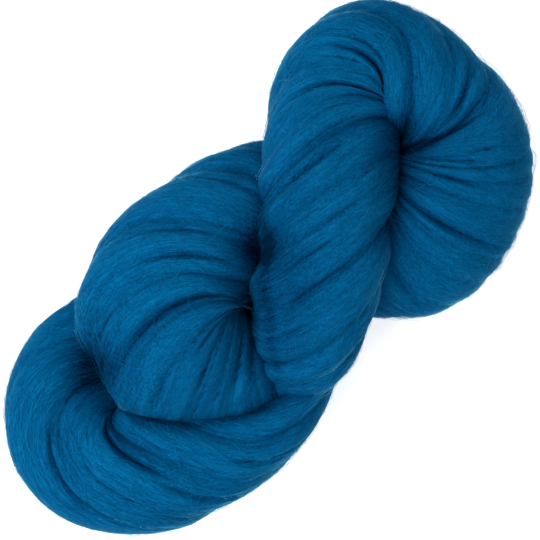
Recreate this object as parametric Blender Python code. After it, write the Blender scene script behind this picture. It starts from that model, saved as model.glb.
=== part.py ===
"""Hank of combed wool roving: one thick sliver bundle, twisted and laid round itself as a two-ply rope.

The bundle runs in a closed ring. It rounds a bight at the right end, crosses the top as a ply, goes
under, rounds the bight at the left end, crosses the top again as the second ply and closes under the
first one. Its slivers spiral round it and show as soft bands with creases between them.

Frame: metres, +X along the hank, +Z up, with z = 0 the surface that it rests on.
"""
import math

import bmesh
import bpy
import numpy as np

MM = 0.001  # the tables below are in millimetres and degrees

# Driving sizes
LENGTH_SCALE = 1.0       # 1 for a hank 340 mm long; all of it grows or shrinks together
SLIVERS = 5              # broad slivers side by side round the bundle
SLIVER_CROWN = 4.5       # how far the middle of a sliver stands over the creases beside it
FULL_SLIVER = 24.0       # a sliver narrower than this has a lower crown, in the same proportion
CREASE_POWER = 0.75      # under 1 keeps the slivers full and the creases narrow
FULLNESS = 2.2           # exponent of the bundle's section: 2 is an ellipse, more is squarer
SETTLE = 2.5             # how far its weight presses the soft hank down where it rests
STATIONS = 900           # sections along the ring before it is remeshed
SIDES = 120              # points round each section
CURVE_STEPS = 360        # chords that a section's length round is measured along
VOXEL = 2.6              # grain of the remesh that makes one skin of the crossing plies
FACES = 9600             # triangles that are kept
CUT_GRAIN = 0.05         # points nearer the resting plane than this are taken as on it

# The bundle's path, a row per section in the order that it runs: the section's middle, the bearing of
# its wide way seen from above, its half width and half height, and the lay, which is the angle
# between the fibres and the bundle's own direction.
SECTIONS = (
    # name                 x     y    z  bearing half_w half_h lay
    ("under first ply",    46,   -5,  26,  -147,   41,  27,  66),
    ("right bight in",     63,  -39,  34,  -126,   48,  37,  77),
    ("right bight low",    89,  -42,  38,   -97,   43,  40,  81),
    ("right bight side",  117,  -33,  38,   -54,   39,  40,  82),
    ("right bight end",   129,  -10,  38,   -15,   36,  39,  76),
    ("right bight back",  128,   14,  38,    18,   34,  39,  48),
    ("right bight top",   124,   36,  38,    50,   37,  39,  60),
    ("right bight out",   110,   44,  38,    75,   38,  39,  68),
    ("first ply head",     90,   39,  40,    97,   38,  38,  62),
    ("first ply high",     75,   29,  48,   115,   36,  37,  57),
    ("first ply upper",    61,   15,  59,   119,   37,  37,  57),
    ("first ply top",      44,    2,  65,   120,   37,  36,  57),
    ("first ply middle",   24,  -13,  65,   125,   36,  36,  57),
    ("first ply lower",     5,  -27,  59,   131,   33,  36,  60),
    ("first ply rim",     -13,  -37,  45,   130,   30,  35,  60),
    ("first ply turn",    -29,  -36,  24,    85,   28,  26,  55),
    ("under second ply",  -42,  -10,  24,    30,   34,  25,  50),
    ("under left",        -62,   16,  25,    32,   36,  25,  42),
    ("left bight in",     -88,   35,  23,    58,   36,  23,  36),
    ("left bight top",   -116,   38,  30,   112,   31,  30,  32),
    ("left bight back",  -139,   25,  33,   158,   32,  33,  30),
    ("left bight end",   -143,   -2,  34,   196,   35,  34,  28),
    ("left bight side",  -129,  -22,  36,   224,   34,  36,  33),
    ("left bight low",   -109,  -36,  37,   250,   36,  37,  42),
    ("left bight out",    -87,  -49,  37,   262,   28,  35,  40),
    ("band",              -62,  -61,  36,   265,   19,  31,  28),
    ("band end",          -38,  -59,  31,   268,   15,  27,  30),
    ("band turn",         -13,  -49,  24,   290,   17,  22,  35),
    ("tail turn",          -5,  -31,  20,   360,   20,  20,  40),
    ("tail",              -30,  -24,  25,   430,   27,  24,  60),
    ("second ply foot",   -50,  -28,  41,   400,   25,  28,  80),
    ("second ply rim",    -57,   -7,  48,   352,   37,  34,  81),
    ("second ply lower",  -62,    8,  52,   335,   47,  37,  80),
    ("second ply broad",  -54,   26,  53,   320,   51,  38,  66),
    ("second ply upper",  -35,   37,  50,   303,   44,  39,  56),
    ("second ply high",   -14,   38,  47,   287,   38,  38,  57),
    ("second ply head",     8,   36,  42,   264,   36,  36,  60),
    ("second ply turn",    29,   27,  33,   240,   35,  32,  64),
)
FULL_TURN = 360.0
SPLINE_STEPS = 40        # points of the path worked out for each row of the table

# The main creases, a row each: the plan place of its middle, and its reach along the fibres to each
# side, half width and depth.
CREASES = (
    #  x    y  reach  half_w  depth
    (117,  36,   60,     9,     9),   # between the first ply's head and the right bight
    (140,  -8,   34,     7,     5),   # the right bight's fold
    (112,  10,   22,     6,     4),
    (121, -26,   30,     6,     3),
    (104, -32,   34,     7,     4),
    ( 83, -48,   34,     7,     5),
    ( 43, -55,   22,     7,     4),
    (109,  58,   26,     7,     3),
    ( 92,  54,   40,     7,     5),
    ( 66,  37,   38,     7,     4),
    ( 50,  27,   36,     8,     5),
    ( 76,   1,   24,     6,     3),
    ( 45,  -2,   30,     6,     3),
    ( 20, -24,   40,     8,     5),
    ( 16,  61,   26,     7,     4),
    ( -8,  56,   34,     7,     4),
    (-23,  40,   40,     8,     4),
    (-61,  23,   46,     9,     6),
    (-50,  43,   34,     7,     3),
    (-84,  45,   28,     6,     3),
    (-41, -21,   34,     6,     6),
    (-148, 22,   60,     9,     6),
    (-120, -4,   50,     9,     6),
    (-115, -50,  40,     8,     4),
    (-66, -64,   34,     7,     4),
)

CREASE_SEARCH = 2.0      # how near a crease's middle a point of the skin is taken for it
CREASE_EDGE = 1.5        # exponent that rounds a crease's floor and fades its ends

# Finish
WOOL_COLOUR = (0.004, 0.082, 0.205, 1.0)
WOOL_ROUGHNESS = 0.85


def clear_scene():
    for thing in list(bpy.data.objects):
        bpy.data.objects.remove(thing, do_unlink=True)


def section_columns():
    """The section table as numbers: lengths in metres, angles still in degrees."""
    rows = np.array([row[1:] for row in SECTIONS], dtype=float)
    rows[:, (0, 1, 2, 4, 5)] *= MM * LENGTH_SCALE
    return rows


def spline(rows, steps):
    """A closed cubic B-spline through the rows' columns, with a number of steps to each row."""
    count = len(rows)
    place = np.arange(count * steps) / steps
    first = np.floor(place).astype(int)
    part = (place - first)[:, None]

    def row(offset):
        index = first + offset
        values = rows[index % count].copy()
        values[:, 3] += FULL_TURN * (index // count)
        return values

    weights = (
        (1 - part) ** 3,
        3 * part ** 3 - 6 * part ** 2 + 4,
        -3 * part ** 3 + 3 * part ** 2 + 3 * part + 1,
        part ** 3,
    )
    return sum(weight * row(offset - 1) for offset, weight in enumerate(weights)) / 6


def ring(count):
    """Evenly spaced stations along the ring, and its length."""
    fine = spline(section_columns(), SPLINE_STEPS)
    closed = np.vstack([fine, fine[:1]])
    closed[-1, 3] += FULL_TURN
    steps = np.linalg.norm(np.diff(closed[:, :3], axis=0), axis=1)
    along = np.concatenate([[0.0], np.cumsum(steps)])
    wanted = np.arange(count) * along[-1] / count
    columns = [np.interp(wanted, along, closed[:, k]) for k in range(closed.shape[1])]
    return np.stack(columns, axis=1), along[-1]


def unit(vectors):
    return vectors / np.linalg.norm(vectors, axis=-1, keepdims=True)


def frames(stations):
    """The wide way and the high way of each section, square to the path."""
    middle = stations[:, :3]
    path = unit(np.roll(middle, -1, axis=0) - np.roll(middle, 1, axis=0))
    bearing = np.radians(stations[:, 3])
    wide = np.stack([np.cos(bearing), np.sin(bearing), np.zeros(len(bearing))], axis=1)
    wide = unit(wide - (wide * path).sum(axis=1, keepdims=True) * path)
    return wide, unit(np.cross(wide, path))


def section_curve(half_width, half_height, turn):
    """Points of one section, and the outward way there, at shares of its length round."""
    angle = np.linspace(0, 2 * math.pi, CURVE_STEPS + 1)
    power = 2 / FULLNESS
    x = half_width * np.sign(np.cos(angle)) * np.abs(np.cos(angle)) ** power
    y = half_height * np.sign(np.sin(angle)) * np.abs(np.sin(angle)) ** power
    along = np.concatenate([[0.0], np.cumsum(np.hypot(np.diff(x), np.diff(y)))])
    share = turn % 1.0 * along[-1]
    at_x = np.interp(share, along, x)
    at_y = np.interp(share, along, y)
    out = unit(np.stack([at_x / half_width ** 2, at_y / half_height ** 2], axis=-1))
    return at_x, at_y, out, along[-1]


def spiral(stations, length, rounds):
    """How far the slivers have turned round the bundle at each station: whole turns in all."""
    step = length / len(stations)
    turned = np.cumsum(np.tan(np.radians(stations[:, 6])) / rounds * step)
    return turned * round(turned[-1]) / turned[-1]


def sliver_crease(turn, along, length):
    """1 in the creases between the slivers, 0 on their crowns, uneven in width and strength."""
    lap = 2 * math.pi * along / length
    uneven = 0.16 * np.sin(2 * math.pi * turn + 3 * lap) + 0.10 * np.sin(4 * math.pi * turn - 5 * lap)
    crease = 1 - np.abs(np.sin(math.pi * (SLIVERS * turn + uneven))) ** CREASE_POWER
    strength = 0.72 + 0.28 * np.sin(4 * math.pi * turn + 7 * lap)
    return crease * strength


def main_crease(row, points, turn, along, spin, around, lay, length):
    """The depth of one listed crease over the whole skin."""
    x, y, reach, half_width, depth = (value * MM * LENGTH_SCALE for value in row)
    near = np.hypot(points[..., 0] - x, points[..., 1] - y) < CREASE_SEARCH * MM
    height = np.where(near, points[..., 2], -1.0)
    station, side = np.unravel_index(np.argmax(height), height.shape)
    apart = turn - turn[station, side]
    apart -= np.round(apart)
    run = along - along[station]
    laps = np.round(run / length)
    run -= length * laps
    turned = spin - spin[station] - spin[-1] * laps
    round_off = (apart - turned[:, None]) * around[:, None]
    ahead = np.hypot(round_off, run[:, None]) / reach
    aside = np.abs(apart * around[:, None]) * np.cos(np.radians(lay))[:, None] / half_width
    fade = np.clip(1 - ahead ** 2, 0, 1) ** CREASE_EDGE
    return depth * fade * np.clip(1 - aside, 0, 1) ** CREASE_EDGE


def hank_points():
    """Points of the bundle's skin, a row for each station, with its slivers and creases."""
    stations, length = ring(STATIONS)
    wide, high = frames(stations)
    share = np.arange(SIDES) / SIDES
    curves = [section_curve(row[4], row[5], share) for row in stations]
    x, y = (np.array([curve[k] for curve in curves]) for k in (0, 1))
    out = np.array([curve[2] for curve in curves])
    around = np.array([curve[3] for curve in curves])
    spin = spiral(stations, length, around)
    along = np.arange(STATIONS) * length / STATIONS
    turn = share[None, :] + spin[:, None]

    def in_space(a, b):
        return a[..., None] * wide[:, None, :] + b[..., None] * high[:, None, :]

    points = stations[:, None, :3] + in_space(x, y)
    across = around * np.cos(np.radians(stations[:, 6])) / SLIVERS
    crown = SLIVER_CROWN * MM * LENGTH_SCALE * np.clip(across / (FULL_SLIVER * MM * LENGTH_SCALE), 0, 1)
    sunk = crown[:, None] * sliver_crease(turn, along[:, None], length)
    for row in CREASES:
        deep = main_crease(row, points, turn, along, spin, around, stations[:, 6], length)
        sunk = np.maximum(sunk, deep)
    points = points - sunk[..., None] * in_space(out[..., 0], out[..., 1])
    plan_middle = (points.min(axis=(0, 1)) + points.max(axis=(0, 1))) / 2
    return points - (plan_middle[0], plan_middle[1], SETTLE * MM * LENGTH_SCALE)


def wool_material():
    wool = bpy.data.materials.new("combed wool")
    wool.use_nodes = True
    shader = wool.node_tree.nodes["Principled BSDF"]
    shader.inputs["Base Color"].default_value = WOOL_COLOUR
    shader.inputs["Roughness"].default_value = WOOL_ROUGHNESS
    shader.inputs["Metallic"].default_value = 0.0
    return wool


def add_bundle(name):
    """The bundle's skin as a closed mesh: quads between neighbouring stations and sides."""
    here = np.arange(STATIONS * SIDES).reshape(STATIONS, SIDES)
    on = np.roll(here, -1, axis=0)
    faces = np.stack([here, on, np.roll(on, -1, axis=1), np.roll(here, -1, axis=1)], axis=-1)
    skin = bpy.data.meshes.new(name)
    skin.from_pydata(hank_points().reshape(-1, 3).tolist(), [], faces.reshape(-1, 4).tolist())
    bundle = bpy.data.objects.new(name, skin)
    bpy.context.collection.objects.link(bundle)
    bpy.context.view_layer.objects.active = bundle
    return bundle


def apply_modifier(thing, kind, **settings):
    modifier = thing.modifiers.new(kind.title(), kind)
    for setting, value in settings.items():
        setattr(modifier, setting, value)
    bpy.ops.object.modifier_apply(modifier=modifier.name)


def keep_outer_skin(mesh):
    """Drop the small closed shells left by the remesh and the cut, so that the hank is one body."""
    left = set(mesh.faces)
    shells = []
    while left:
        shell = {left.pop()}
        fresh = set(shell)
        while fresh:
            fresh = {near for face in fresh for edge in face.edges for near in edge.link_faces} - shell
            shell |= fresh
        left -= shell
        shells.append(shell)
    outer = max(shells, key=len)
    inner = [face for face in mesh.faces if face not in outer]
    bmesh.ops.delete(mesh, geom=inner, context="FACES")


def flatten_foot(mesh):
    """Cut the hank level where it rests, and close the cut with flat faces."""
    everything = mesh.verts[:] + mesh.edges[:] + mesh.faces[:]
    bmesh.ops.bisect_plane(
        mesh, geom=everything, dist=CUT_GRAIN * MM, plane_co=(0, 0, 0), plane_no=(0, 0, 1), clear_inner=True
    )
    for vert in mesh.verts:
        if vert.co.z < CUT_GRAIN * MM:
            vert.co.z = 0.0
    stray = [edge for edge in mesh.edges if edge.is_wire]
    bmesh.ops.delete(mesh, geom=stray, context="EDGES")
    rim = [edge for edge in mesh.edges if edge.is_boundary]
    bmesh.ops.holes_fill(mesh, edges=rim, sides=0)
    bmesh.ops.triangulate(mesh, faces=mesh.faces[:])
    bmesh.ops.recalc_face_normals(mesh, faces=mesh.faces[:])


def edit(thing, change):
    mesh = bmesh.new()
    mesh.from_mesh(thing.data)
    change(mesh)
    mesh.to_mesh(thing.data)
    mesh.free()


def build_hank():
    hank = add_bundle("hank")
    apply_modifier(hank, "REMESH", mode="VOXEL", voxel_size=VOXEL * MM * LENGTH_SCALE)
    apply_modifier(hank, "DECIMATE", ratio=FACES / (2 * len(hank.data.polygons)))
    edit(hank, flatten_foot)
    edit(hank, keep_outer_skin)
    hank.data.shade_smooth()
    hank.data.materials.clear()
    hank.data.materials.append(wool_material())


clear_scene()
build_hank()
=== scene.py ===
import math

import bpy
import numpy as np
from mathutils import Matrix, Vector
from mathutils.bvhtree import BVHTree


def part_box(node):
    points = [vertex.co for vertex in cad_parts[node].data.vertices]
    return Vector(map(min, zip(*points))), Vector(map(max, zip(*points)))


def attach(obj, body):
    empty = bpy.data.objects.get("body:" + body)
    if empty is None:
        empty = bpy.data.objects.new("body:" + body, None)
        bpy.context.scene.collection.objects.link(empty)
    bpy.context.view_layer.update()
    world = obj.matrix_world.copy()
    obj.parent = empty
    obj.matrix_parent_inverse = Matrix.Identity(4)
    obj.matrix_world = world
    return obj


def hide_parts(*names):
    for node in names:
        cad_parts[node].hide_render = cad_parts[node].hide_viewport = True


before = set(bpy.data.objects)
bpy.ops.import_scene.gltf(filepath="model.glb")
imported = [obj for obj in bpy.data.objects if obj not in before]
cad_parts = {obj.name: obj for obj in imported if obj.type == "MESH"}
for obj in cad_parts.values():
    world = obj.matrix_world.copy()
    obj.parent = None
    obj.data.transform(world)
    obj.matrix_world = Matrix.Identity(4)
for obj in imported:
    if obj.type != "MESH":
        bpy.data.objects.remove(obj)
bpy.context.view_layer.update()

# Hank of combed wool roving: the looks.
#
# The skin of the bundle follows the same closed ring as the CAD solid, in the same tables, but every
# row of its mesh runs along the fibres, so that the furrows between the slivers, the finer strands
# and the single fibres all lie the way the wool was combed. Thin fibres are laid over the skin along
# those lines, a few more cross them, and loose hairs stand off the edges.

MM = 0.001  # the tables below are in millimetres and degrees
SEED = 41

# ---------------------------------------------------------------- the bundle's path, as in the solid
SLIVERS = 5              # broad slivers side by side round the bundle
SLIVER_CROWN = 4.5       # how far the middle of a sliver stands over the creases beside it
FULL_SLIVER = 24.0       # a sliver narrower than this has a lower crown, in the same proportion
CREASE_POWER = 0.75      # under 1 keeps the slivers full and the creases narrow
CREASE_SWAY = (0.16, 0.10)       # how far the creases sway, in slivers: a slow wave and a quick one
CREASE_STRENGTH = (0.72, 0.28)   # mean strength of the creases, and how much it varies
FULLNESS = 2.2           # exponent of the bundle's section: 2 is an ellipse, more is squarer
SETTLE = 2.5             # how far its weight presses the soft hank down where it rests

# A row per section in the order that the bundle runs: the section's middle, the bearing of its wide
# way seen from above, its half width and half height, and the lay, which is the angle between the
# fibres and the bundle's own direction.
SECTIONS = (
    # name                 x     y    z  bearing half_w half_h lay
    ("under first ply",    46,   -5,  26,  -147,   41,  27,  66),
    ("right bight in",     63,  -39,  34,  -126,   48,  37,  77),
    ("right bight low",    89,  -42,  38,   -97,   43,  40,  81),
    ("right bight side",  117,  -33,  38,   -54,   39,  40,  82),
    ("right bight end",   129,  -10,  38,   -15,   36,  39,  76),
    ("right bight back",  128,   14,  38,    18,   34,  39,  48),
    ("right bight top",   124,   36,  38,    50,   37,  39,  60),
    ("right bight out",   110,   44,  38,    75,   38,  39,  68),
    ("first ply head",     90,   39,  40,    97,   38,  38,  62),
    ("first ply high",     75,   29,  48,   115,   36,  37,  57),
    ("first ply upper",    61,   15,  59,   119,   37,  37,  57),
    ("first ply top",      44,    2,  65,   120,   37,  36,  57),
    ("first ply middle",   24,  -13,  65,   125,   36,  36,  57),
    ("first ply lower",     5,  -27,  59,   131,   33,  36,  60),
    ("first ply rim",     -13,  -37,  45,   130,   30,  35,  60),
    ("first ply turn",    -29,  -36,  24,    85,   28,  26,  55),
    ("under second ply",  -42,  -10,  24,    30,   34,  25,  50),
    ("under left",        -62,   16,  25,    32,   36,  25,  42),
    ("left bight in",     -88,   35,  23,    58,   36,  23,  36),
    ("left bight top",   -116,   38,  30,   112,   31,  30,  32),
    ("left bight back",  -139,   25,  33,   158,   32,  33,  30),
    ("left bight end",   -143,   -2,  34,   196,   35,  34,  28),
    ("left bight side",  -129,  -22,  36,   224,   34,  36,  33),
    ("left bight low",   -109,  -36,  37,   250,   36,  37,  42),
    ("left bight out",    -87,  -49,  37,   262,   28,  35,  40),
    ("band",              -62,  -61,  36,   265,   19,  31,  28),
    ("band end",          -38,  -59,  31,   268,   15,  27,  30),
    ("band turn",         -13,  -49,  24,   290,   17,  22,  35),
    ("tail turn",          -5,  -31,  20,   360,   20,  20,  40),
    ("tail",              -30,  -24,  25,   430,   27,  24,  60),
    ("second ply foot",   -50,  -28,  41,   400,   25,  28,  80),
    ("second ply rim",    -57,   -7,  48,   352,   37,  34,  81),
    ("second ply lower",  -62,    8,  52,   335,   47,  37,  80),
    ("second ply broad",  -54,   26,  53,   320,   51,  38,  66),
    ("second ply upper",  -35,   37,  50,   303,   44,  39,  56),
    ("second ply high",   -14,   38,  47,   287,   38,  38,  57),
    ("second ply head",     8,   36,  42,   264,   36,  36,  60),
    ("second ply turn",    29,   27,  33,   240,   35,  32,  64),
)
FULL_TURN = 360.0
SPLINE_STEPS = 40        # points of the path to each section
CURVE_STEPS = 360        # chords that a section's length round is measured along

# The furrows between the strands of wool, a row each: the plan place of its middle, and its reach
# along the fibres to each side, half width and depth.
FURROWS = (
    #  x    y   reach  half_w  depth
    (115,   33, 42,  3.8,  6.0),   # between the first ply's head and the right bight
    (123,  -13, 34,  4.6,  5.5),   # the right bight's fold
    (114,    9, 18,  3.0,  2.8),
    (141,   -6, 28,  3.8,  4.1),
    (152,  -12, 14,  3.0,  2.3),
    (128,  -35, 14,  3.0,  2.0),
    (114,  -28, 14,  2.7,  2.4),
    (103,  -31, 20,  3.2,  3.4),
    ( 83,  -50, 40,  4.2,  4.6),
    ( 43,  -54, 20,  3.8,  3.7),
    (109,   56, 30,  3.4,  2.8),
    ( 97,   48, 44,  4.2,  4.6),
    ( 80,   43, 30,  3.0,  2.2),
    ( 67,   36, 46,  3.4,  3.2),
    ( 51,   28, 38,  4.2,  4.6),
    ( 76,    1, 22,  3.0,  2.6),
    ( 46,   -3, 28,  3.0,  2.8),
    ( 21,   -7, 30,  3.4,  2.8),
    ( 21,  -25, 44,  4.2,  4.6),
    (-13,  -30, 22,  3.0,  2.0),
    ( 17,   58, 28,  3.8,  3.7),
    ( -4,   48, 36,  3.0,  2.8),
    (-18,   55, 36,  3.8,  3.9),
    (-24,   41, 36,  3.8,  3.9),
    (-38,   38, 42,  3.0,  2.8),
    (-73,   46, 36,  3.4,  2.9),
    (-52,   24, 58,  4.2,  5.5),
    (-43,   -1, 15,  3.0,  2.8),
    (-83,   -3, 22,  3.2,  3.5),
    (123,   53, 22,  2.6,  3.0),
    (-58,  -13, 24,  3.0,  2.4),
    (-41,  -21, 34,  3.0,  2.2),
    (-121,  -8, 50,  4.6,  5.5),
    (-110, -60, 32,  3.8,  3.9),
    (-138, -35, 42,  3.4,  2.9),
    (-158,   0, 56,  4.2,  4.6),
    (-65,  -65, 22,  3.4,  2.9),
    (-75,  -68, 22,  3.4,  2.9),
)
FURROW_SEARCH = 1.5      # points of the skin this near a furrow's plan place are looked at for it
FURROW_EDGE = 1.6        # exponent that rounds a furrow's sides and fades its ends

# Sharp folds that cross the strands: the plan places of the start, the bend and the end, the half
# width and the depth.
FOLDS = (
    ((94,    0), (115, -17), (146, -20), 3.0, 5.5),   # under the right bight's upper flap
    ((160,   2), (140,  -5), (127, -12), 2.2, 3.5),
    ((122,  18), (115,   9), (107,  -1), 1.8, 2.2),
    ((-20,  -8), (-34, -23), (-48, -33), 2.2, 2.4),   # beside the second ply's narrow strand
)
# Lines in which one ply lies against the next: the same places and half width, and how much painted
# shade darkens the wool along them.
CONTACTS = (
    ((-109,  7), (-89, -34), (-47, -50), 3.5, 0.60),
    ((103,   4), ( 78, -21), ( 59, -32), 4.0, 0.40),
    (( 32,  37), ( -2,   9), (-40, -47), 5.5, 0.60),
)
FOLD_PLACES = 24         # places that a fold is drawn through
FOLD_STOP = 1.6          # depth of fold that no fibre crosses
FOLD_STEPS = 25          # steps from a fibre's middle to each end in which a fold is looked for
FOLD_STUB = 0.25         # steps that are left of a fibre whose middle lies in a fold

# Hollows where the plies pinch the wool, places where it fills the crevice between them, and places
# given painted shade and painted light: the plan place, the reach to each side, the depth, and how much
# painted shade darkens the wool there. A depth under nothing stands out; a shade under nothing is painted
# light, paler.
HOLLOWS = (
    #  x    y   reach  depth  dark
    ( 99,    0,  14,   0.0,   0.60),  # between the first ply's head and the right bight
    ( 80,  -14,  11,   0.0,   0.34),
    ( 60,  -28,  10,   1.0,   0.18),
    (  7,   12,  13,   4.0,   0.34),  # where the second ply goes under the first
    (-12,   -6,   8,   0.0,   0.15),
    ( 35,   20,  13,   0.0,   0.20),  # down the first ply's flank beside the second
    ( 18,    3,  13,   0.0,   0.27),
    (  1,  -14,  13,   0.0,   0.40),
    (-17,  -31,  13,   0.0,   0.27),
    (-81,   39,  16,   0.0,   0.12),  # the second ply's far side
    ( 36,  -49,  13,   0.0,  -0.14),  # the first ply's near side, open to the light
    (-15,  -66,  13,   0.0,  -0.20),
    (-50,  -33,  10,   0.0,  -0.22),  # the second ply's near corner, open as well
    (105,   19,  13,   0.0,  -0.10),  # the first ply's head, open as well
    (-136,  19,  14,   0.0,   0.12),  # the left bight's back
    (-101,  32,  14,   4.0,   0.48),  # between the left bight and the second ply
    ( 95,   -2,   6,  -3.0,   0.0),   # wool that closes the crevice
    (-10,    2,   7,  -1.6,   0.0),
    ( 33,   41,   6,  -2.0,   0.0),
    (-105,   4,   7,  -3.0,   0.0),
)
HOLLOW_FLOOR = 15.0      # wool this low isn't dented
HOLLOW_FADE = 20.0       # height over which a hollow comes to its full depth

# Strands of wool inside a sliver, a row per size: how many lie side by side round the bundle, and
# how long one keeps its place.
STRANDS = (
    # count  length
    (7,   170),
    (16,  140),
    (34,  110),
    (72,   80),
    (150,  60),
)
STRAND_RELIEF = 0.030    # depth between strands for each millimetre of their spacing
STRAND_WIDEST = 11.0     # spacing past which strands are too broad to part
STRAND_LINE = 0.22       # how narrow the parting line is

# The skin is worked out once, as a field of this many stations and sides
FIELD_STATIONS = 1800
FIELD_SIDES = 900

# Skin meshes
SKIN_SIDES = 264
SKIN_STEP = 4.5          # distance between rings, measured along the fibres
SMOOTH_ANGLE = 60.0      # edges sharper than this stay sharp
FIRST_CUT = "under second ply"   # where the ring is parted into two pieces, out of sight

# Single fibres over the skin
FIBRE_RINGS = 10         # rings of each fibre's mesh, its two tips among them
FIBRE_SIDES = 3
FIBRE_FLAT = 0.6         # height of a fibre over its width
FIBRE_ROUND = 0.35       # how far a fibre's shading turns to its sides, so that a mass of them stays soft
FIBRE_THICKNESS = (0.7, 1.3)     # least and greatest share of the listed thickness
FIBRE_TIP = 0.4          # length of a fibre's tip past its last ring
FIBRE_TAPER = 1.02       # over 1, so that the last ring still has a width
SWAY_WAVES = 1.7         # half waves of sway from a fibre's middle to its end
CELL = 6                 # the field is searched for open places in cells of this many stations and sides
OPEN_START = 1.5         # how far off the skin a covering ply is looked for,
OPEN_REACH = 150.0       # and how far out
FOOT_CLEAR = 2.5         # no fibre starts lower than this, where the wool lies pressed down

# How shut in a place is, between the plies and in the furrows, and the painted shade that darkens the wool
# there
SHELTER_CELL = 12        # it is worked out in cells of this many stations and sides
SHELTER_RAYS = 48
SHELTER_REACH = 45.0
SHELTER_START = 2.0      # how far off the skin the rays start
UPRIGHT = 0.9            # past this share of upward, a way is squared against the floor's own
SHUT_SHARE = 0.95        # loss of tone where a place is shut in all round
FURROW_SHADE = 20.0      # depth of furrow that loses the whole tone
FOLD_SHADE = 11.0        # depth of fold that does
OPEN_TONE = 0.715        # tone of wool in the open
FIBRE_TONE = 0.20        # how far one fibre's tone may differ from its neighbour's

# Places where the fibres on top are combed off the strands' own lay: the plan place, the reach to
# each side, and the turn in degrees, anticlockwise from above.
COMBING = (
    (117,  -33,  26,  -22),
    (-57,   -7,  22,  -14),
    (-50,  -28,  18,  -24),
    (-66,    8,  20,  -10),
)

# The fibres, a row per sheet of them. A fibre is 0.02 mm thick in the wool and drawn thicker, so that
# it shows. Slope is how far it may turn off the strands' lay, in radians. Bow is how far the longest
# may curve aside, lift and stray how far it stands off the skin, and dip how deep its ends go in.
# Paler is the share of tone that it has over the wool's.
FIBRES = (
    # name             count  shortest  longest  thick  slope  bow  lift  stray  dip  paler
    ("combed_fibres_a", 3400,  22,       60,     0.42,  0.040, 1.2, 0.20, 0.10,  0.5, 0.0),
    ("combed_fibres_b", 3400,  16,       48,     0.34,  0.100, 2.0, 0.30, 0.12,  0.5, 0.0),
    ("combed_fibres_c", 3400,  12,       36,     0.26,  0.300, 3.2, 0.45, 0.30,  0.5, 0.12),
    ("loose_hairs",     3400,  10,       32,     0.24,  0.650, 4.6, 0.90, 0.80,  0.3, 0.30),
)


# ---------------------------------------------------------------- the ring
def section_columns():
    """The section table as numbers: lengths in metres, angles still in degrees."""
    rows = np.array([row[1:] for row in SECTIONS], dtype=float)
    rows[:, (0, 1, 2, 4, 5)] *= MM
    return rows


def spline(rows, steps):
    """A closed cubic B-spline through the rows' columns, with a number of steps to each row."""
    count = len(rows)
    place = np.arange(count * steps) / steps
    first = np.floor(place).astype(int)
    part = (place - first)[:, None]

    def row(offset):
        index = first + offset
        values = rows[index % count].copy()
        values[:, 3] += FULL_TURN * (index // count)
        return values

    weights = (
        (1 - part) ** 3,
        3 * part ** 3 - 6 * part ** 2 + 4,
        -3 * part ** 3 + 3 * part ** 2 + 3 * part + 1,
        part ** 3,
    )
    return sum(weight * row(offset - 1) for offset, weight in enumerate(weights)) / 6


def ring(count):
    """Evenly spaced stations along the ring, its length, and where each table row lies on it."""
    fine = spline(section_columns(), SPLINE_STEPS)
    closed = np.vstack([fine, fine[:1]])
    closed[-1, 3] += FULL_TURN
    steps = np.linalg.norm(np.diff(closed[:, :3], axis=0), axis=1)
    along = np.concatenate([[0.0], np.cumsum(steps)])
    wanted = np.arange(count) * along[-1] / count
    columns = [np.interp(wanted, along, closed[:, k]) for k in range(closed.shape[1])]
    rows_at = {row[0]: along[k * SPLINE_STEPS] / along[-1] * count for k, row in enumerate(SECTIONS)}
    return np.stack(columns, axis=1), along[-1], rows_at


def unit(vectors):
    return vectors / np.linalg.norm(vectors, axis=-1, keepdims=True)


def frames(stations):
    """The wide way and the high way of each section, square to the path."""
    middle = stations[:, :3]
    path = unit(np.roll(middle, -1, axis=0) - np.roll(middle, 1, axis=0))
    bearing = np.radians(stations[:, 3])
    wide = np.stack([np.cos(bearing), np.sin(bearing), np.zeros(len(bearing))], axis=1)
    wide = unit(wide - (wide * path).sum(axis=1, keepdims=True) * path)
    return wide, unit(np.cross(wide, path))


def section_curve(half_width, half_height, turn):
    """Points of one section, and the outward way there, at shares of its length round."""
    angle = np.linspace(0, 2 * math.pi, CURVE_STEPS + 1)
    power = 2 / FULLNESS
    x = half_width * np.sign(np.cos(angle)) * np.abs(np.cos(angle)) ** power
    y = half_height * np.sign(np.sin(angle)) * np.abs(np.sin(angle)) ** power
    along = np.concatenate([[0.0], np.cumsum(np.hypot(np.diff(x), np.diff(y)))])
    share = turn % 1.0 * along[-1]
    at_x = np.interp(share, along, x)
    at_y = np.interp(share, along, y)
    out = unit(np.stack([at_x / half_width ** 2, at_y / half_height ** 2], axis=-1))
    return at_x, at_y, out, along[-1]


def section_length(half_width, half_height):
    return section_curve(half_width, half_height, np.zeros(1))[3]


def spiral(stations, length, rounds):
    """How far the slivers have turned round the bundle at each station: whole turns in all."""
    step = length / len(stations)
    turned = np.cumsum(np.tan(np.radians(stations[:, 6])) / rounds * step)
    return turned * round(turned[-1]) / turned[-1]


def sliver_crease(turn, along, length):
    """1 in the creases between the slivers, 0 on their crowns, uneven in width and strength."""
    lap = 2 * math.pi * along / length
    round_once = 2 * math.pi * turn
    slow, quick = CREASE_SWAY
    uneven = slow * np.sin(round_once + 3 * lap) + quick * np.sin(2 * round_once - 5 * lap)
    crease = 1 - np.abs(np.sin(math.pi * (SLIVERS * turn + uneven))) ** CREASE_POWER
    mean, change = CREASE_STRENGTH
    return crease * (mean + change * np.sin(2 * round_once + 7 * lap))


def smooth(value):
    return value * value * (3 - 2 * value)


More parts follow.
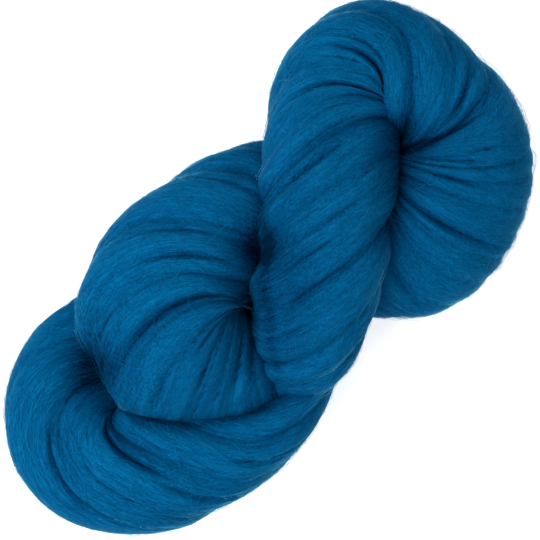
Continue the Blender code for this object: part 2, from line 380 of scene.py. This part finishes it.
def strand_noise(rng, count, cells, run, turn):
    """Noise from -1 to 1 that changes slowly along the fibres and has `count` lanes round the bundle."""
    table = rng.uniform(-1, 1, (count, cells))
    shift = rng.uniform(0, cells, count)
    lane = turn * count
    first = np.floor(lane).astype(int)
    side = smooth(lane - first)

    def lane_value(index):
        index = index % count
        place = run + shift[index]
        cell = np.floor(place).astype(int)
        part = smooth(place - cell)
        return table[index, cell % cells] * (1 - part) + table[index, (cell + 1) % cells] * part

    return lane_value(first) * (1 - side) + lane_value(first + 1) * side


def add_furrow(row, sunk, points, turn, along, spin, around, lay, length):
    """Presses one listed furrow into the skin's depth field."""
    x, y, reach, half_width, depth = (value * MM for value in row)
    near = np.hypot(points[..., 0] - x, points[..., 1] - y) < FURROW_SEARCH * MM
    height = np.where(near, points[..., 2], -1.0)
    station, side = np.unravel_index(np.argmax(height), height.shape)
    run = along - along[station]
    laps = np.round(run / length)
    run -= length * laps
    rows = np.flatnonzero(np.abs(run) < reach)
    apart = turn[None, :] - turn[side]
    apart = apart - np.round(apart)
    turned = (spin - spin[station] - spin[-1] * laps)[rows]
    # the fibre that starts at the furrow's middle has turned by `turned` where it meets a station
    fibre = np.hypot(turned * around[rows], run[rows])
    ahead = fibre[:, None] / reach
    aside = np.abs(apart * around[rows, None]) * np.cos(np.radians(lay[rows]))[:, None] / half_width
    fade = np.clip(1 - ahead ** 2, 0, 1) ** FURROW_EDGE
    deep = depth * fade * np.clip(1 - aside, 0, 1) ** FURROW_EDGE
    sunk[rows] = np.maximum(sunk[rows], deep)


def fold_depth(row, points, high_up):
    """Depth of one listed fold over the skin: a curve in plan, pressed into what faces upwards."""
    start, bend, end = (np.array(place) for place in row[:3])
    half_width, depth = row[3:]
    share = np.linspace(0, 1, FOLD_PLACES)[:, None]
    curve = (1 - share) ** 2 * start + 2 * share * (1 - share) * bend + share ** 2 * end
    curve = curve * MM
    low = curve.min(axis=0) - half_width * MM
    top = curve.max(axis=0) + half_width * MM
    plan = points[..., :2]
    near = np.all((plan > low) & (plan < top), axis=-1) & (high_up > 0)
    apart = np.linalg.norm(plan[near][:, None] - curve, axis=-1)
    at = share[apart.argmin(axis=1), 0]
    fade = np.clip(4 * at * (1 - at), 0, 1) ** 0.5
    aside = np.clip(1 - apart.min(axis=1) / (half_width * MM), 0, 1) ** FURROW_EDGE
    deep = np.zeros(high_up.shape)
    deep[near] = depth * MM * fade * aside * high_up[near]
    return deep


def skin_field():
    """The skin's points and outward ways on a grid of stations and fibres, with its furrows."""
    stations, length, rows_at = ring(FIELD_STATIONS)
    wide, high = frames(stations)
    around = np.array([section_length(row[4], row[5]) for row in stations])
    spin = spiral(stations, length, around)
    lay = stations[:, 6]
    turn = np.arange(FIELD_SIDES) / FIELD_SIDES
    curves = [section_curve(row[4], row[5], turn - angle) for row, angle in zip(stations, spin)]
    x, y = (np.array([curve[k] for curve in curves]) for k in (0, 1))
    out = np.array([curve[2] for curve in curves])

    def in_space(a, b):
        return a[..., None] * wide[:, None, :] + b[..., None] * high[:, None, :]

    points = stations[:, None, :3] + in_space(x, y)
    outward = in_space(out[..., 0], out[..., 1])
    along = np.arange(FIELD_STATIONS) * length / FIELD_STATIONS
    across = around * np.cos(np.radians(lay))
    fibre_run = np.cumsum(length / FIELD_STATIONS / np.cos(np.radians(lay)))

    crown = SLIVER_CROWN * MM * np.clip(across / SLIVERS / (FULL_SLIVER * MM), 0, 1)
    sunk = crown[:, None] * sliver_crease(turn[None, :], along[:, None], length)
    for row in FURROWS:
        add_furrow(row, sunk, points, turn, along, spin, around, lay, length)
    painted_shading = np.zeros_like(sunk)
    high_up = np.clip((points[..., 2] - HOLLOW_FLOOR * MM) / (HOLLOW_FADE * MM), 0, 1)
    folds = np.zeros_like(sunk)
    for row in FOLDS:
        folds = np.maximum(folds, fold_depth(row, points, high_up))
    sunk = np.maximum(sunk, folds)
    for row in CONTACTS:
        painted_shading = np.maximum(painted_shading, fold_depth(row, points, high_up) / MM)
    for x, y, reach, depth, painted_shading_share in HOLLOWS:
        apart = np.hypot(points[..., 0] - x * MM, points[..., 1] - y * MM) / (reach * MM)
        hollow = high_up * np.exp(-apart ** 2)
        sunk += depth * MM * hollow
        painted_shading += painted_shading_share * hollow
    # painted shade: darker by depth in the creases, furrows and folds, along the contacts and in the
    # hollows; painted light where a hollow's shade is less than nothing
    shade = painted_shading + sunk / (FURROW_SHADE * MM) + folds / (FOLD_SHADE * MM)
    rng = np.random.default_rng(SEED)
    for count, cell in STRANDS:
        cells = round(fibre_run[-1] / (cell * MM))
        run = fibre_run / fibre_run[-1] * cells
        lane = strand_noise(rng, count, cells, run[:, None], turn[None, :])
        spacing = across / count
        relief = STRAND_RELIEF * spacing * np.clip(2 - spacing / (STRAND_WIDEST * MM) * 2, 0, 1)
        sunk += relief[:, None] * (np.exp(-(lane / STRAND_LINE) ** 2) - 0.5 * lane)
    points = points - sunk[..., None] * outward
    return points, unit(outward), rows_at, fibre_run, across, lay, shade, folds


def skin_normals(points):
    """Outward ways of the field, from its own slopes."""
    ahead = np.roll(points, -1, axis=0) - np.roll(points, 1, axis=0)
    aside = np.roll(points, -1, axis=1) - np.roll(points, 1, axis=1)
    return unit(np.cross(ahead, aside))


def look_up(field, station, turn):
    """The field's values at fractional stations and turns; both ways close on themselves."""
    rows, columns = field.shape[:2]
    i = np.floor(station).astype(int)
    lane = turn * columns
    j = np.floor(lane).astype(int)
    a = (station - i)[..., None]
    b = (lane - j)[..., None]
    value = field if field.ndim == 3 else field[..., None]
    low = value[i % rows, j % columns] * (1 - b) + value[i % rows, (j + 1) % columns] * b
    next_row = (i + 1) % rows
    high = value[next_row, j % columns] * (1 - b) + value[next_row, (j + 1) % columns] * b
    return low * (1 - a) + high * a


# ---------------------------------------------------------------- small helpers
def deselect_all():
    for thing in bpy.context.selected_objects:
        thing.select_set(False)


def get_points(mesh):
    flat = np.empty(len(mesh.vertices) * 3)
    mesh.vertices.foreach_get("co", flat)
    return flat.reshape(-1, 3)


def set_points(mesh, points):
    mesh.vertices.foreach_set("co", np.ascontiguousarray(points, dtype=np.float64).ravel())
    mesh.update()


def sphere_grid(points, rings, sides):
    """Ring and side of each vertex of a unit sphere made of rings: 0 and `rings` are its poles."""
    ring_at = np.rint(np.arccos(np.clip(points[:, 2], -1, 1)) / math.pi * rings).astype(int)
    side_at = np.rint(np.arctan2(points[:, 1], points[:, 0]) / (2 * math.pi) * sides).astype(int) % sides
    return ring_at, side_at


def dress(thing, material):
    """The finish and the frame's calls, the same for every piece."""
    thing.data.materials.clear()
    thing.data.materials.append(material)
    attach(thing, "root")
    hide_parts("hank")


# ---------------------------------------------------------------- materials
def linear(code):
    """An sRGB hex colour as linear numbers with alpha."""
    values = [int(code[k:k + 2], 16) / 255 for k in (0, 2, 4)]
    return (*(v / 12.92 if v <= 0.04045 else ((v + 0.055) / 1.055) ** 2.4 for v in values), 1.0)


def add_node(tree, kind, settings=(), links=(), **sockets):
    """A node with its settings, its socket values, and links given as (socket, source output)."""
    node = tree.nodes.new(kind)
    for name, value in dict(settings).items():
        setattr(node, name, value)
    for name, value in sockets.items():
        node.inputs[name.replace("_", " ")].default_value = value
    for name, source in links:
        tree.links.new(source, node.inputs[name])
    return node


def new_material(name):
    material = bpy.data.materials.new(name)
    material.use_nodes = True
    return material, material.node_tree, material.node_tree.nodes["Principled BSDF"]


# The ramp's dark end is painted shade, reached where the wool is shut in between the plies and down
# furrows and folds; its middle and light end are the wool's own teal, its streaks and paler fibres.
WOOL_DEEP_SHADE = "011a32"
WOOL_DARK_AND_SHADE = "023e68"
WOOL_BODY = "035686"
WOOL_LIGHT = "0870a4"
SHEEN_SIDE = "1c93ba"
SHEEN_EDGE = "80e0f8"
# how far each pattern moves the shade, as a share of the way from dark to light
BROAD_SHARE = 0.25
FINE_SHARE = 0.9
CROSS_SHARE = 0.45
CROSS_ANGLES = (-0.55, 0.45)


def streaks(tree, uv, length, width, detail, angle=0.0):
    """Noise in streaks of a real length and width, in metres, at an angle in radians to the fibres."""
    stretch = add_node(tree, "ShaderNodeMapping", {"vector_type": "TEXTURE"}, [("Vector", uv)])
    stretch.inputs["Scale"].default_value = (length, width, 1.0)
    stretch.inputs["Rotation"].default_value = (0.0, 0.0, angle)
    noise = add_node(
        tree, "ShaderNodeTexNoise", {"noise_dimensions": "2D"},
        [("Vector", stretch.outputs["Vector"])], Scale=1.0, Detail=detail,
    )
    return noise.outputs["Fac"]


def weigh(tree, value, share, add):
    """value * share + add."""
    node = add_node(tree, "ShaderNodeMath", {"operation": "MULTIPLY_ADD"}, [(0, value)])
    node.inputs[1].default_value = share
    if isinstance(add, float):
        node.inputs[2].default_value = add
    else:
        tree.links.new(add, node.inputs[2])
    return node.outputs[0]


def combed_wool(name):
    """Combed merino top, dyed teal: soft and matt, with a faint sheen where it is seen edge on, and
    painted shade in its colour between the plies and in the furrows and folds.
    """
    material, tree, shader = new_material(name)
    uv = add_node(tree, "ShaderNodeUVMap", {"uv_map": "fibre"}).outputs["UV"]
    # a lock of some 4 mm keeps its shade for about 80 mm
    broad = streaks(tree, uv, 80 * MM, 4 * MM, 2.0)
    # single fibres, 0.02 mm in the wool, drawn 0.3 mm wide so that they show
    fine = streaks(tree, uv, 12 * MM, 0.3 * MM, 3.0)
    # the tone attribute holds painted shade, darker between the plies and in furrows and folds, with each
    # fibre's own random tone
    shade_tone = add_node(tree, "ShaderNodeAttribute", {"attribute_name": "shade_tone"}).outputs["Fac"]
    shade = weigh(tree, broad, BROAD_SHARE, -(BROAD_SHARE + FINE_SHARE + 2 * CROSS_SHARE) / 2)
    shade = weigh(tree, fine, FINE_SHARE, shade)
    # short stray fibres that lie across the rest, drawn 0.4 mm wide for the same reason
    for angle in CROSS_ANGLES:
        shade = weigh(tree, streaks(tree, uv, 5 * MM, 0.4 * MM, 2.0, angle), CROSS_SHARE, shade)
    shade = weigh(tree, shade_tone, 1.0, shade)
    ramp = add_node(tree, "ShaderNodeValToRGB", links=[("Fac", shade)])
    stops = ramp.color_ramp.elements
    stops[0].position, stops[0].color = 0.0, linear(WOOL_DEEP_SHADE)
    stops[1].position, stops[1].color = 1.0, linear(WOOL_LIGHT)
    for place, colour in ((0.33, WOOL_DARK_AND_SHADE), (0.66, WOOL_BODY)):
        stops.new(place).color = linear(colour)
    tree.links.new(ramp.outputs["Color"], shader.inputs["Base Color"])
    bump = add_node(tree, "ShaderNodeBump", links=[("Height", fine)], Strength=0.3, Distance=0.0005)
    tree.links.new(bump.outputs["Normal"], shader.inputs["Normal"])
    shader.inputs["Roughness"].default_value = 0.8
    shader.inputs["Specular IOR Level"].default_value = 0.03
    shader.inputs["Specular Tint"].default_value = linear("0a6aa5")
    # the sheen of the loose fuzz is paler where the ply is seen edge on and open; its tint and weight
    # follow the painted shade, so it is least in the folds
    ply_way = add_node(tree, "ShaderNodeAttribute", {"attribute_name": "ply_way"}).outputs["Vector"]
    edge = add_node(
        tree, "ShaderNodeLayerWeight", links=[("Normal", ply_way)], Blend=0.5,
    ).outputs["Facing"]
    open_edge = weigh(tree, edge, 1.0, weigh(tree, shade_tone, 2.0, -1.43))
    fuzz = add_node(tree, "ShaderNodeValToRGB", links=[("Fac", open_edge)])
    side, rim = fuzz.color_ramp.elements
    side.position, side.color = 0.3, linear(SHEEN_SIDE)
    rim.position, rim.color = 1.0, linear(SHEEN_EDGE)
    tree.links.new(fuzz.outputs["Color"], shader.inputs["Sheen Tint"])
    tree.links.new(weigh(tree, shade_tone, 1.55, -0.14), shader.inputs["Sheen Weight"])
    shader.inputs["Sheen Roughness"].default_value = 0.3
    return material


def studio_floor():
    """Matt white paper sweep, lit from all round so that it stays bright beside the wool."""
    material, tree, shader = new_material("white paper sweep")
    coordinates = add_node(tree, "ShaderNodeTexCoord").outputs["Object"]
    grain = add_node(
        tree, "ShaderNodeTexNoise", links=[("Vector", coordinates)], Scale=900.0, Detail=2.0,
    )
    ramp = add_node(tree, "ShaderNodeValToRGB", links=[("Fac", grain.outputs["Fac"])])
    ramp.color_ramp.elements[0].color = linear("f2f2f2")
    ramp.color_ramp.elements[1].color = linear("fbfbfb")
    tree.links.new(ramp.outputs["Color"], shader.inputs["Base Color"])
    shader.inputs["Roughness"].default_value = 0.9
    shader.inputs["Specular IOR Level"].default_value = 0.1
    shader.inputs["Emission Color"].default_value = (1.0, 1.0, 1.0, 1.0)
    shader.inputs["Emission Strength"].default_value = 0.6
    return material


# ---------------------------------------------------------------- the skin's field in the frame
field, ply_ways, rows_at, fibre_run, across, lay, shade, folds = skin_field()
shift = (field.min(axis=(0, 1)) + field.max(axis=(0, 1))) / 2
low, high = (np.array(corner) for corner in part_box("hank"))
to_frame = (*((low + high) / 2 - shift)[:2], -SETTLE * MM)
field = field + to_frame
field[..., 2] = np.maximum(field[..., 2], 0.0)
normals = skin_normals(field)


# ---------------------------------------------------------------- pieces
def shelter_field(tree):
    """Share of the rays from each cell that another part of the wool stops close by."""
    station, side = np.mgrid[0:FIELD_STATIONS:SHELTER_CELL, 0:FIELD_SIDES:SHELTER_CELL]
    place = field[station, side]
    out = normals[station, side]
    flat = np.where(np.abs(out[..., 2:]) < UPRIGHT, (0.0, 0.0, 1.0), (1.0, 0.0, 0.0))
    first = unit(np.cross(out, flat))
    second = np.cross(out, first)
    number = np.arange(SHELTER_RAYS)
    spread = np.sqrt((number + 0.5) / SHELTER_RAYS)
    golden = number * math.pi * (3 - math.sqrt(5))
    rays = np.stack([spread * np.cos(golden), spread * np.sin(golden), np.sqrt(1 - spread ** 2)], axis=1)
    shut = np.zeros(station.shape)
    reach = SHELTER_REACH * MM
    for index in np.ndindex(station.shape):
        ways = rays @ np.stack([first[index], second[index], out[index]])
        start = Vector(place[index] + out[index] * SHELTER_START * MM)
        for way in ways.tolist():
            distance = tree.ray_cast(start, way, reach)[3]
            if distance is not None:
                shut[index] += 1 - distance / reach
    shut /= SHELTER_RAYS
    for axis in (0, 1):
        shut = (np.roll(shut, 1, axis) + 2 * shut + np.roll(shut, -1, axis)) / 4
    return shut


def painted_shade_tone(station, turn):
    """Painted shade, as the tone of the wool at places on the skin: OPEN_TONE in the open, 0 where it is
    deeply shut in.
    """
    shut = look_up(shelter, station / SHELTER_CELL, turn)[..., 0]
    painted_shading = look_up(shade, station, turn)[..., 0]
    return OPEN_TONE * np.clip(1 - SHUT_SHARE * shut - painted_shading, 0, 1)


def add_skin(name, start, end):
    """Part of the ring's skin from one station to another: a sphere's rings, laid along the ring."""
    stations = np.arange(FIELD_STATIONS + 1)
    run = np.concatenate([fibre_run - fibre_run[0], [fibre_run[-1]]])
    span = np.interp([start, end], stations, run)
    rings = int((span[1] - span[0]) / (SKIN_STEP * MM))
    deselect_all()
    bpy.ops.mesh.primitive_uv_sphere_add(segments=SKIN_SIDES, ring_count=rings, radius=1.0)
    skin = bpy.context.object
    skin.name = name
    skin.data.name = name
    ring_at, side_at = sphere_grid(get_points(skin.data), rings, SKIN_SIDES)
    share = np.clip((ring_at - 1) / (rings - 2), 0, 1)
    station = np.interp(span[0] + share * (span[1] - span[0]), run, stations)
    points = look_up(field, station, side_at / SKIN_SIDES)
    for pole in (0, rings):
        rim = ring_at == (1 if pole == 0 else rings - 1)
        points[ring_at == pole] = points[rim].mean(axis=0)
    set_points(skin.data, points)

    uv = skin.data.uv_layers[0]
    uv.name = "fibre"
    flat = np.empty(len(uv.data) * 2)
    uv.data.foreach_get("uv", flat)
    flat = flat.reshape(-1, 2)
    wide = across.mean()
    along = span[0] + (1 - flat[:, 1]) * (span[1] - span[0])
    uv.data.foreach_set("uv", np.stack([along, flat[:, 0] * wide], axis=1).ravel())

    bpy.ops.object.shade_smooth_by_angle(angle=math.radians(SMOOTH_ANGLE))
    return skin, station, side_at / SKIN_SIDES


def give_shade_tone(thing, values, ways):
    """The tone of each point, mostly painted shade, and the outward way of the whole ply there, without
    its furrows.
    """
    shade_tone = thing.data.attributes.new("shade_tone", "FLOAT", "POINT")
    shade_tone.data.foreach_set("value", np.ascontiguousarray(values, dtype=np.float32).ravel())
    way = thing.data.attributes.new("ply_way", "FLOAT_VECTOR", "POINT")
    way.data.foreach_set("vector", np.ascontiguousarray(ways, dtype=np.float32).ravel())


def open_cells(tree):
    """Stations and sides of the skin's cells that no other ply covers, and the area of each."""
    station, side = np.mgrid[0:FIELD_STATIONS:CELL, 0:FIELD_SIDES:CELL]
    place = field[station, side]
    out = normals[station, side]
    ahead = field[(station + CELL) % FIELD_STATIONS, side] - place
    aside = field[station, (side + CELL) % FIELD_SIDES] - place
    area = np.linalg.norm(np.cross(ahead, aside), axis=-1)
    found = []
    for index in np.ndindex(station.shape):
        point = place[index]
        if point[2] < FOOT_CLEAR * MM:
            continue
        way = out[index]
        start = point + way * OPEN_START * MM
        hit = tree.ray_cast(Vector(start), Vector(way), OPEN_REACH * MM)
        if hit[0] is not None and hit[1].dot(Vector(way)) > 0:
            continue
        found.append((station[index], side[index], area[index]))
    return np.array(found)


def stop_at_folds(half, angle, skew, start, turn, run):
    """How far each fibre runs to each side of its middle, as shares, before it meets a fold."""
    reach = []
    for way in (-1, 1):
        share = way * np.linspace(0, 1, FOLD_STEPS + 1)[None, 1:]
        aside = half * share * np.sin(angle)
        place = start + half * share * np.cos(angle) + aside * skew
        at = np.interp(place % run[-1], run, np.arange(len(run)))
        turns = turn[:, None] + aside / across[at.astype(int) % len(across)]
        met = look_up(folds, at, turns % 1.0)[..., 0] > FOLD_STOP * MM
        first = np.where(met.any(axis=1), np.maximum(met.argmax(axis=1), FOLD_STUB), FOLD_STEPS)
        reach.append(way * first[:, None] / FOLD_STEPS)
    return reach


def fibre_paths(rng, spec, cells):
    """Centre points, outward ways and thickness along each fibre, and where it runs on the skin."""
    _, count, shortest, longest, thick, slope, bow, lift, stray, dip, _ = spec
    picked = cells[rng.choice(len(cells), count, p=cells[:, 2] / cells[:, 2].sum())]
    station = picked[:, 0] + rng.uniform(0, CELL, count)
    turn = (picked[:, 1] + rng.uniform(0, CELL, count)) / FIELD_SIDES
    even = np.concatenate([[-1.0], np.linspace(-1, 1, FIBRE_RINGS - 1), [1.0]])[None, :]
    stations = np.arange(FIELD_STATIONS + 1)
    run = np.concatenate([fibre_run - fibre_run[0], [fibre_run[-1]]])
    half = rng.uniform(shortest, longest, (count, 1)) * MM / 2
    middle = look_up(field, station, turn)
    angle = rng.normal(0, slope, (count, 1))
    for x, y, reach, degrees in COMBING:
        apart = np.hypot(middle[:, 0] - to_frame[0] - x * MM, middle[:, 1] - to_frame[1] - y * MM)
        angle += math.radians(degrees) * np.exp(-(apart / (reach * MM)) ** 2)[:, None]
    curl = half / longest * 2
    curve = rng.normal(0, bow, (count, 1)) * curl
    sway = rng.normal(0, bow / 3, (count, 1)) * curl
    skew = np.tan(np.radians(lay))[station.astype(int) % FIELD_STATIONS][:, None]
    start = np.interp(station, stations, run)[:, None]
    back, ahead = stop_at_folds(half, angle, skew, start, turn, run)
    share = (back + ahead) / 2 + (ahead - back) / 2 * even
    aside = half * share * np.sin(angle) + curve * share ** 2 + sway * np.sin(math.pi * share * SWAY_WAVES)
    place = start + half * share * np.cos(angle) + aside * skew
    at = np.interp(place % run[-1], run, stations)
    turns = turn[:, None] + aside / across[at.astype(int) % FIELD_STATIONS]
    base = look_up(field, at, turns % 1.0)
    out = unit(look_up(normals, at, turns % 1.0))
    rise = np.abs(rng.normal(lift, stray, (count, 1))) * MM
    height = rise * (1 - even ** 2) ** 0.5 - dip * MM * (np.abs(even) == 1)
    points = base + out * height[..., None]
    taper = np.sqrt(FIBRE_TAPER - even ** 4)
    width = thick * MM * rng.uniform(*FIBRE_THICKNESS, (count, 1)) * taper
    return points, out, width, place, at, turns


def add_fibres(spec, cells, material):
    """Many fibres as one mesh: one slim closed thread is modelled, repeated, and each laid in place."""
    name, count = spec[:2]
    rng = np.random.default_rng([SEED, *name.encode()])
    deselect_all()
    bpy.ops.mesh.primitive_uv_sphere_add(segments=FIBRE_SIDES, ring_count=FIBRE_RINGS, radius=1.0)
    thing = bpy.context.object
    thing.name = name
    thing.data.name = name
    ring_at, side_at = sphere_grid(get_points(thing.data), FIBRE_RINGS, FIBRE_SIDES)
    repeat = thing.modifiers.new("Array", "ARRAY")
    repeat.count = count
    repeat.relative_offset_displace = (1.5, 0.0, 0.0)
    bpy.ops.object.modifier_apply(modifier=repeat.name)

    points, out, width, place, at, turns = fibre_paths(rng, spec, cells)
    along = np.empty_like(points)
    along[:, 1:-1] = points[:, 2:] - points[:, :-2]
    along[:, 0] = along[:, 1]
    along[:, -1] = along[:, -2]
    beside = unit(np.cross(unit(along), out))
    round_angle = 2 * math.pi * side_at / FIBRE_SIDES + math.pi / 2
    thin = np.where((ring_at == 0) | (ring_at == FIBRE_RINGS), 0.0, 1.0)
    spread = np.cos(round_angle) * thin
    stand = np.sin(round_angle) * thin * FIBRE_FLAT
    radius = width[:, ring_at][..., None] / 2
    mesh_points = points[:, ring_at] + radius * (
        spread[None, :, None] * beside[:, ring_at] + stand[None, :, None] * out[:, ring_at]
    )
    tip = np.where(ring_at == 0, -1.0, np.where(ring_at == FIBRE_RINGS, 1.0, 0.0))
    mesh_points += tip[None, :, None] * unit(along)[:, ring_at] * FIBRE_TIP * MM
    mesh_points[..., 2] = np.maximum(mesh_points[..., 2], 0.0)
    set_points(thing.data, mesh_points.reshape(-1, 3))

    loops = np.empty(len(thing.data.loops), dtype=np.int32)
    thing.data.loops.foreach_get("vertex_index", loops)
    uv = thing.data.uv_layers[0]
    uv.name = "fibre"
    u = place[:, ring_at].ravel()[loops]
    v = (turns[:, ring_at] % 1.0).ravel()[loops] * across.mean()
    uv.data.foreach_set("uv", np.stack([u, v], axis=1).ravel())
    shade_tone = painted_shade_tone(at, turns % 1.0)
    shade_tone = shade_tone * (1 + spec[-1] + rng.uniform(-FIBRE_TONE, FIBRE_TONE, (count, 1)))
    give_shade_tone(thing, shade_tone[:, ring_at], look_up(ply_ways, at, turns % 1.0)[:, ring_at])
    bpy.ops.object.shade_smooth()
    soft = out[:, ring_at] + FIBRE_ROUND * spread[None, :, None] * beside[:, ring_at]
    thing.data.normals_split_custom_set_from_vertices(unit(soft).reshape(-1, 3).tolist())
    dress(thing, material)
    return thing


# ---------------------------------------------------------------- make everything
wool = combed_wool("combed wool")
cut = rows_at[FIRST_CUT]
skins = [
    add_skin("first_ply_wool", 0, cut),
    add_skin("second_ply_wool", cut, FIELD_STATIONS),
]
skin_points = [get_points(skin.data) for skin, _, _ in skins]
skin_faces = []
first = 0
for (skin, _, _), points in zip(skins, skin_points):
    # sorted, because a new sphere lists its faces in another order each run, and a ray can tell
    skin_faces += sorted([first + corner for corner in face.vertices] for face in skin.data.polygons)
    first += len(points)
tree = BVHTree.FromPolygons(np.vstack(skin_points).tolist(), skin_faces)
# painted shade: the more of the wool's rays other plies stop, the darker the tone given below
shelter = shelter_field(tree)
for skin, station, turn in skins:
    give_shade_tone(skin, painted_shade_tone(station, turn), look_up(ply_ways, station, turn))
    dress(skin, wool)
cells = open_cells(tree)
for spec in FIBRES:
    add_fibres(spec, cells, wool)

# ---------------------------------------------------------------- stage, light and camera
FLOOR_DROP = 0.5         # the floor lies this far under the wool's flat foot
FLOOR_SIZE = 14.0        # metres
ROOM_LIGHT = 0.66
KEY_PLACE = (-1.0, 0.45, 1.4)    # metres
KEY_SIZE = 1.2
KEY_POWER = 26
deselect_all()
bpy.ops.mesh.primitive_plane_add(size=FLOOR_SIZE, location=(0, 0, -FLOOR_DROP * MM))
floor = bpy.context.object
floor.name = "floor"
bpy.ops.object.transform_apply(location=True, rotation=False, scale=False)
floor.data.materials.append(studio_floor())

world = bpy.data.worlds.new("studio")
world.use_nodes = True
world.node_tree.nodes["Background"].inputs["Color"].default_value = (1.0, 1.0, 1.0, 1.0)
world.node_tree.nodes["Background"].inputs["Strength"].default_value = ROOM_LIGHT
bpy.context.scene.world = world
bpy.context.scene.view_settings.view_transform = "Standard"


def add_soft_light(name, place, size, power):
    lamp = bpy.data.lights.new(name, "AREA")
    lamp.shape = "DISK"
    lamp.size = size
    lamp.energy = power
    light = bpy.data.objects.new(name, lamp)
    bpy.context.collection.objects.link(light)
    light.location = place
    light.rotation_mode = "QUATERNION"
    light.rotation_quaternion = (-Vector(place)).to_track_quat("-Z", "Y")


add_soft_light("key", KEY_PLACE, KEY_SIZE, KEY_POWER)

VIEW_WIDTH = 291.6       # millimetres across the picture, at the height of the wool's edge
VIEW_HEIGHT = 35.0       # the height of that edge
CAMERA_HEIGHT = 1500.0
VIEW_MIDDLE = (1.7, 1.7)         # in the section table's own plan
VIEW_TURN = -45.0
SENSOR = 36.0
camera_data = bpy.data.cameras.new("camera")
camera = bpy.data.objects.new("camera", camera_data)
bpy.context.collection.objects.link(camera)
camera.location = (
    VIEW_MIDDLE[0] * MM + to_frame[0],
    VIEW_MIDDLE[1] * MM + to_frame[1],
    CAMERA_HEIGHT * MM,
)
camera.rotation_euler = (0.0, 0.0, math.radians(VIEW_TURN))
camera_data.sensor_width = SENSOR
camera_data.lens = SENSOR * (CAMERA_HEIGHT - VIEW_HEIGHT) / VIEW_WIDTH
camera_data.clip_start = 0.05
camera_data.clip_end = 20.0
bpy.context.scene.camera = camera
